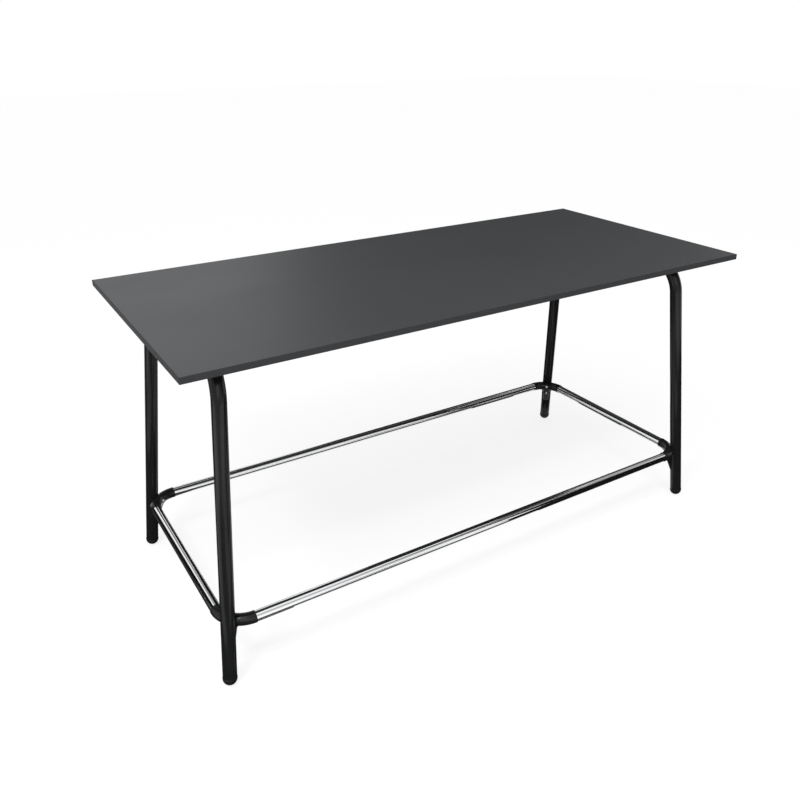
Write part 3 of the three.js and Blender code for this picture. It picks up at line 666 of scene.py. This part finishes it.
levels = [(TONGUE_START, ROOT_FILLET)]
for step in range(FILLET_STEPS + 1):
    turn = step * math.pi / (2 * FILLET_STEPS)
    levels.append((-ELBOW_RADIUS - ROOT_FILLET * (1 - math.cos(turn)), ROOT_FILLET * (1 - math.sin(turn))))
height, flare = levels[0]
half = TONGUE_HALF + flare
centre, depth = tongue_section(height, 1)
tongue = start("tongue", bpy.ops.mesh.primitive_plane_add, size=2, location=(centre, 0, height))
bpy.ops.transform.resize(value=(depth, half, 1), center_override=(centre, 0, height))
for next_height, next_flare in levels[1:] + [(TONGUE_END.z, TONGUE_END_HALF - TONGUE_HALF)]:
    next_half = TONGUE_HALF + next_flare
    next_centre, next_depth = tongue_section(next_height, max(0, next_flare / ROOT_FILLET))
    extrude(next_centre - centre, 0, next_height - height)
    bpy.ops.transform.resize(value=(next_depth / depth, next_half / half, 1),
                             center_override=(next_centre, 0, next_height))
    height, half, centre, depth = next_height, next_half, next_centre, next_depth
close_up()
pick("edges", on_face)
bpy.ops.mesh.bevel(offset=TONGUE_ROUND, segments=7, affect="EDGES")
close_up()
bpy.ops.object.mode_set(mode="OBJECT")
carve(elbow, "UNION", move(tongue, to_diagonal))
# The remesh and two smoothings run the tongue's root into the bend, as a casting's fillet does.
work(elbow, "REMESH", mode="VOXEL", voxel_size=VOXEL)
blend_zone = elbow.vertex_groups.new(name="blend_zone")
for vertex in elbow.data.vertices:
    aside = abs(vertex.co.x - vertex.co.y) / math.sqrt(2)
    by_level = 1 - min(1, abs(vertex.co.z - BLEND_LEVEL) / BLEND_SPAN)
    by_side = 1 - min(1, max(0, aside - BLEND_HALF) / BLEND_FADE)
    blend_zone.add([vertex.index], min(1, BLEND_GAIN * by_level) * by_side, "REPLACE")
work(elbow, "SMOOTH", factor=0.5, iterations=14, vertex_group="blend_zone")
work(elbow, "SMOOTH", factor=0.5, iterations=6)
take(elbow)
bpy.ops.object.mode_set(mode="EDIT")
for facing in ((1, 0, 0), (0, 1, 0)):
    bpy.ops.mesh.select_all(action="SELECT")
    bpy.ops.mesh.bisect(plane_co=Vector(facing) * ARM_END, plane_no=facing, use_fill=True, clear_outer=True,
                        threshold=CUT_TOLERANCE)
bpy.ops.object.mode_set(mode="OBJECT")
leg_core = turned("leg_core", 128, [(HOLLOW_RADIUS, -HOLLOW_REACH), (HOLLOW_RADIUS, HOLLOW_REACH)])
move(leg_core, along_leg)
seats = [move(turned("seat", 48, [(SEAT_RADIUS, 0), (SEAT_RADIUS, SEAT_DEPTH)]), at_screw(*seat))
         for seat in (UPPER_SEAT, LOWER_SEAT)]
carve(elbow, "DIFFERENCE", leg_core, *seats)
spigot = turned("spigot", 64, [
    (SPIGOT_RADIUS, -SPIGOT_ROOT), (SPIGOT_RADIUS, SPIGOT_LENGTH - SPIGOT_CHAMFER),
    (SPIGOT_RADIUS - SPIGOT_CHAMFER, SPIGOT_LENGTH)])
spigots = [copy_to(spigot, "spigot_in", Matrix.Translation((ARM_END, -RAIL_OUTSET, 0))
                   @ Matrix.Rotation(math.pi / 2, 4, "Y")),
           copy_to(spigot, "spigot_in", Matrix.Translation((-RAIL_OUTSET, ARM_END, 0))
                   @ Matrix.Rotation(-math.pi / 2, 4, "X"))]
carve(elbow, "UNION", *spigots)
put_away(spigot)
take(elbow)
bpy.ops.object.mode_set(mode="EDIT")
bpy.ops.mesh.select_all(action="SELECT")
bpy.ops.mesh.quads_convert_to_tris()
# The cuts leave a few flaps, two triangles back to back on the same corners, which come off.
corners_of = {face.index: frozenset(vertex.index for vertex in face.verts)
              for face in bmesh.from_edit_mesh(elbow.data).faces}
shared = Counter(corners_of.values())
pick("faces", lambda face: shared[corners_of[face.index]] > 1)
bpy.ops.mesh.delete(type="ONLY_FACE")
bpy.ops.object.mode_set(mode="OBJECT")
smooth(elbow, degrees=40)
for corner in CORNERS:
    cast = copy_to(elbow, "cast_elbow_" + corner, at_leg(corner, RAIL_HEIGHT))
    fit(cast, powder_coat, "table", "corner_bracket_" + corner)
put_away(elbow)


# Two button-head screws of plated steel hold each elbow, one through the bend and one through the tongue.
# They have a hexagon socket and turn into threads tapped in the leg's wall.
TIP_REACH = 0.012
TIP_RADIUS = 0.0021
TIP_CHAMFER = 0.0006
THREAD_START = 0.0015
HEAD_GAP = 0.0003
SHANK_RADIUS = 0.0026
HEAD_PROFILE = [
    (0.0052, 0.0), (0.0055, 0.0003), (0.0055, 0.0008), (0.0052, 0.0016), (0.0045, 0.0024),
    (0.0036, 0.0029), (0.0027, 0.0032), (0.0010, 0.0033)]
SOCKET_RADIUS = 0.0022
SOCKET_FLOOR = 0.0014
SOCKET_TOP = 0.0050

for place, (rise, seat) in (("upper", UPPER_SEAT), ("lower", LOWER_SEAT)):
    head = seat + HEAD_GAP
    shank = [(TIP_RADIUS, TIP_REACH), (SHANK_RADIUS, TIP_REACH + TIP_CHAMFER), (SHANK_RADIUS, head)]
    button = turned("button_screw", 48, shank + [(radius, head + reach) for radius, reach in HEAD_PROFILE])
    socket_ends = [(SOCKET_RADIUS, head + SOCKET_FLOOR), (SOCKET_RADIUS, head + SOCKET_TOP)]
    carve(button, "DIFFERENCE", turned("hexagon", 6, socket_ends))
    weld(button, thread("button_thread", root=0.0025, crest=0.0030, pitch=0.0010,
                        low=TIP_REACH + THREAD_START, turns=6))
    smooth(button)
    for corner in CORNERS:
        spot = at_leg(corner, RAIL_HEIGHT) @ at_screw(rise, 0)
        screw = copy_to(button, f"elbow_screw_{corner}_{place}", spot)
        fit(screw, zinc, "table", f"bracket_screw_{corner}_{place}")
    put_away(button)


# A flanged plastic plug is driven into the open end of each leg and carries the thread for the foot.
# Its rim shows as a thin line between the tube and the domed foot.
DOME_HEIGHT = 0.0190
PLUG_PROFILE = [
    (0.0053, 0.0028), (0.0186, 0.0028), (0.0190, 0.0032), (0.0190, 0.0039), (0.0186, 0.0043),
    (0.0167, 0.0043), (0.0167, 0.0331), (0.0152, 0.0346), (0.0053, 0.0346), (0.0053, 0.0028)]
DARK_PLASTIC = (0.0090, 0.0092, 0.0096)
PALE_PLASTIC = (0.0140, 0.0142, 0.0146)
SCUFFED_PLASTIC = (0.075, 0.073, 0.070)

plastic = Finish("black_plastic", {"Specular IOR Level": 0.2})
moulded = plastic.grain(scale=900.0, detail=2.0)
flow = plastic.grain(scale=45.0, detail=3.0)
scuffs = plastic.grain(scale=260.0, detail=4.0, stretch=(1.0, 1.0, 0.3))
floor_height = plastic.node("ShaderNodeSeparateXYZ", {}, {"Vector": plastic.place}, "Z")
scuffed = plastic.step(scuffs, low=0.50, high=0.66)
off_floor = plastic.step(floor_height, low=0.0012, high=0.0050)
sole_wear = scuffed * (1 - off_floor)
dull_black = plastic.blend(flow, DARK_PLASTIC, PALE_PLASTIC)
plastic.vary(colour=plastic.blend(sole_wear, dull_black, SCUFFED_PLASTIC),
             roughness=0.40 + flow * 0.08 + sole_wear * 0.30, height=moulded, depth=0.00002)

plug = turned("plug", 64, PLUG_PROFILE)
smooth(plug)
for corner in CORNERS:
    driven = copy_to(plug, "tube_plug_" + corner, at_leg(corner, DOME_HEIGHT) @ along_leg)
    fit(driven, plastic, "table", "leg_insert_" + corner)
put_away(plug)


# Each foot is a domed plastic glide moulded on a steel stud that turns in the plug to level the table.
# The dome is ground flat where it meets the floor, and scuffed there.
STUD_ROOT = 0.0043
STUD_CREST = 0.0050
STUD_TIP = 0.0036
STUD_PROFILE = [(STUD_TIP, -0.0092), (STUD_ROOT, -0.0085), (STUD_ROOT, 0.0341), (STUD_TIP, 0.0348)]
THREAD_SINK = 0.0001
DOME_RADIUS = 0.0198
DOME_TURNS = range(-87, 1, 3)
DOME_RIM = [(DOME_RADIUS, 0.0016), (0.0196, 0.0021), (0.0190, 0.0025)]
STUD_SOCKET = [(0.0053, 0.0025), (0.0053, -0.0095), (0.0008, -0.0095)]

stud = turned("stud", 40, STUD_PROFILE)
weld(stud, thread("stud_thread", root=STUD_ROOT - THREAD_SINK, crest=STUD_CREST, pitch=0.0015,
                  low=-0.0070, turns=26))
smooth(stud)
dome = [(DOME_RADIUS * math.cos(math.radians(turn)), DOME_RADIUS * math.sin(math.radians(turn)))
        for turn in DOME_TURNS]
glide = turned("glide", 72, dome + DOME_RIM + STUD_SOCKET)
move(glide, along_leg)
bpy.ops.object.mode_set(mode="EDIT")
bpy.ops.mesh.select_all(action="SELECT")
bpy.ops.mesh.bisect(plane_co=(0, 0, -DOME_HEIGHT), plane_no=(0, 0, 1), use_fill=True, clear_inner=True,
                    threshold=CUT_TOLERANCE)
bpy.ops.object.mode_set(mode="OBJECT")
smooth(glide)
for corner in CORNERS:
    levelled = copy_to(stud, "stud_" + corner, at_leg(corner, DOME_HEIGHT) @ along_leg)
    fit(levelled, zinc, "foot_" + corner, "levelling_stud_" + corner)
    foot = copy_to(glide, "foot_dome_" + corner, at_leg(corner, DOME_HEIGHT))
    fit(foot, plastic, "foot_" + corner, "glide_" + corner)
put_away(stud, glide)


# The studio: a pale seamless floor that keeps the table's soft shadow, a white surround, a sun, softboxes
# on the left and in front, cards that only the reflections show, and a camera at the photograph's place.
SURROUND_LIGHT = 0.5
FLOOR_COLOUR = (0.92, 0.92, 0.92, 1)
FLOOR_GLOW = 1.08
FLOOR_GLOW_SHARE = 0.75
FLOOR_SIZE = 40
FLOOR_LEVEL = -0.0002
WHITE = (1, 1, 1, 1)
SUN_PLACE = (-3, -1.5, 4)
SUN_AIM = Vector((2.2, 1.4, -4))
SUN_STRENGTH = 1.02
SUN_SPREAD = 50
SOFTBOX_TARGET = Vector((0, 0, 0.6))


def seen(nodes):
    """1 for the rays that show a backdrop: straight to the camera, in a mirror or through glass."""
    straight, mirrored, through = [
        nodes.node("ShaderNodeLightPath", {}, {}, rays)
        for rays in ("Is Camera Ray", "Is Glossy Ray", "Is Transmission Ray")]
    return nodes.node("ShaderNodeClamp", {}, {"Value": straight + mirrored + through})


world = bpy.data.worlds.new("studio")
bpy.context.scene.world = world
world.use_nodes = True
surround = Nodes(world.node_tree)
background = surround.tree.nodes["Background"]
background.inputs["Color"].default_value = WHITE
surround.join(SURROUND_LIGHT + seen(surround) * (1 - SURROUND_LIGHT), background.inputs["Strength"])

take()
bpy.ops.mesh.primitive_plane_add(size=FLOOR_SIZE, location=(0, 0, FLOOR_LEVEL))
floor = bpy.context.object
floor.name = "floor"
pale = bpy.data.materials.new("pale_floor")
pale.use_nodes = True
ground = Nodes(pale.node_tree)
ground.tree.nodes.remove(ground.tree.nodes["Principled BSDF"])
matt = ground.node("ShaderNodeBsdfDiffuse", {}, {"Color": FLOOR_COLOUR})
glow = ground.node("ShaderNodeEmission", {}, {"Color": WHITE, "Strength": FLOOR_GLOW})
mixed = ground.node("ShaderNodeMixShader", {}, {0: seen(ground) * FLOOR_GLOW_SHARE, 1: matt, 2: glow})
ground.join(mixed, ground.tree.nodes["Material Output"].inputs["Surface"])
floor.data.materials.append(pale)

bpy.ops.object.light_add(type="SUN", location=SUN_PLACE)
sun = bpy.context.object
sun.data.energy = SUN_STRENGTH
sun.data.angle = math.radians(SUN_SPREAD)
sun.rotation_euler = SUN_AIM.to_track_quat("-Z", "Y").to_euler()
for name, spot, width, height, power, mirrored in (
        ("softbox_left", (-2.05, -1.06, 2.83), 0.6, 0.5, 30, True),
        ("softbox_front", (0.1, -1.5, 2.9), 1.2, 0.2, 18, False)):
    bpy.ops.object.light_add(type="AREA", location=spot)
    softbox = bpy.context.object
    softbox.name = name
    softbox.data.shape = "RECTANGLE"
    softbox.data.size = width
    softbox.data.size_y = height
    softbox.data.energy = power
    softbox.visible_glossy = mirrored
    softbox.rotation_euler = (SOFTBOX_TARGET - Vector(spot)).to_track_quat("-Z", "Y").to_euler()

# Cards that only the reflections see stand in for the room round the studio: dark ones for what is unlit
# there, bright ones for its lamps. A far card, 10 m off, is given by its direction, height, width
# and tallness in degrees and its level, a near card by its middle, tilt, turn, width, length and level.
FAR = 10
SEEN_FROM = 0.2
far_cards = (
    ("front_right", -44, 17, 22, 44, 0.008),
    ("front_right_upper", -36, 49, 28, 14, 0.10),
    ("right_upper", -2, 54, 46, 6, 0.16),
    ("right", 1, 43.5, 58, 10, 0.55),
    ("front_upper", -69, 37, 22, 24, 0.50),
    ("behind", 56, 15, 26, 42, 0.008),
    ("behind_right", 35.5, 22, 17, 50, 0.06),
    ("behind_upper", 58, 46, 30, 20, 0.05),
    ("behind_top", 42, 63, 44, 26, 0.06),
    ("left_behind", 86, 35, 18, 18, 0.42),
    ("left_behind_upper", 97, 52, 56, 13, 0.03),
    ("left", 128, 20, 18, 50, 0.008),
    ("camera_side", -112, 22, 30, 26, 2.2))
# Where two near cards overlap, the higher one shows.
near_cards = (
    ("floor_front", (-0.175, -0.54, 0.004), 0, 0, 1.25, 0.24, 0.05),
    ("floor_middle", (0.10, 0.155, 0.004), 0, 0, 1.80, 0.25, 0.06),
    ("floor_right", (0.665, 0.175, 0.005), 0, 0, 0.23, 0.85, 0.06),
    ("floor_left", (-1.661, 1.204, 0.004), 0, 31, 0.75, 3.50, 0.035),
    ("floor_far_left", (-3.42, 2.48, 0.004), 0, 31, 0.95, 5.00, 0.035),
    ("floor_back_left", (-0.63, 0.79, 0.004), 0, 0, 0.26, 0.54, 0.035),
    ("floor_camera", (-1.40, -1.165, 0.004), 0, 0, 0.70, 1.09, 0.12),
    ("floor_leg_inner", (-0.72, -0.26, 0.004), 0, 0, 0.20, 0.30, 0.05),
    ("floor_toe", (-0.925, -0.75, 0.004), 0, 0, 0.25, 0.60, 0.12),
    ("floor_glow_left", (-3.60, -0.35, 0.004), 0, 0, 2.60, 2.00, 2.0),
    ("floor_glow_front", (-0.10, -3.10, 0.004), 0, 0, 2.40, 2.20, 2.0),
    ("floor_gap", (-2.70, -2.60, 0.004), 0, 0, 1.20, 1.60, 0.5),
    ("floor_camera_outer", (-2.10, -1.23, 0.004), 0, 0, 0.70, 0.96, 0.12),
    ("floor_leg", (0.10, -1.365, 0.004), 0, 43, 0.40, 1.20, 0.02),
    ("floor_under_left", (-0.93, 0.05, 0.005), 0, 0, 0.26, 1.00, 0.03),
    ("floor_front_edge", (0.745, -1.098, 0.005), 0, 32, 0.33, 1.568, 0.008),
    ("floor_front_near", (0.475, -0.5225, 0.005), 0, 0, 0.35, 0.355, 0.008),
    ("floor_front_right", (1.91, -1.073, 0.004), 0, 0, 2.58, 1.455, 0.008),
    ("floor_far_right", (1.775, -0.048, 0.004), 0, 0, 1.65, 0.595, 0.008),
    ("floor_behind", (1.75, 2.78, 0.004), 0, 0, 4.50, 4.44, 0.030),
    ("standing_left", (-2.50, 2.74, 0.07), 90, 31, 1.20, 0.14, 0.008),
    ("standing_front_right", (2.075, -1.80, 0.075), 90, 0, 2.25, 0.15, 0.008))
cards = list(near_cards)
for name, towards, above, across, tall, level in far_cards:
    turn = math.radians(towards)
    tilt = math.radians(above)
    reach = FAR * math.cos(tilt)
    spot = (reach * math.cos(turn), reach * math.sin(turn), SEEN_FROM + FAR * math.sin(tilt))
    width = 2 * FAR * math.tan(math.radians(across / 2))
    height = 2 * FAR * math.tan(math.radians(tall / 2))
    cards.append((name, spot, 90 - above, towards + 90, width, height, level))
for name, spot, tilt, turn, width, height, level in cards:
    facing = (math.radians(tilt), 0, math.radians(turn))
    bpy.ops.mesh.primitive_plane_add(size=1, location=spot, rotation=facing)
    card = bpy.context.object
    card.name = "card_" + name
    card.scale = (width, height, 1)
    bpy.ops.object.transform_apply(location=True, rotation=True, scale=True)
    paper = bpy.data.materials.new("paper_" + name)
    paper.use_nodes = True
    sheet = Nodes(paper.node_tree)
    tone = sheet.node("ShaderNodeEmission", {}, {"Strength": level})
    sheet.join(tone, sheet.tree.nodes["Material Output"].inputs["Surface"])
    card.data.materials.append(paper)
    card.visible_camera = False
    card.visible_diffuse = False
    card.visible_shadow = False

CAMERA_PLACE = (-1.27519, -1.86354, 1.55863)
CAMERA_VIEW = Vector((0.475727, 0.762484, -0.438522))
CAMERA_LENS = 34.551
CAMERA_REACH = 100

camera_turn = CAMERA_VIEW.to_track_quat("-Z", "Y").to_euler()
bpy.ops.object.camera_add(location=CAMERA_PLACE, rotation=camera_turn)
camera = bpy.context.object
camera.data.sensor_width = 36
camera.data.lens = CAMERA_LENS
camera.data.clip_end = CAMERA_REACH
bpy.context.scene.camera = camera
bpy.context.scene.view_settings.view_transform = "Standard"
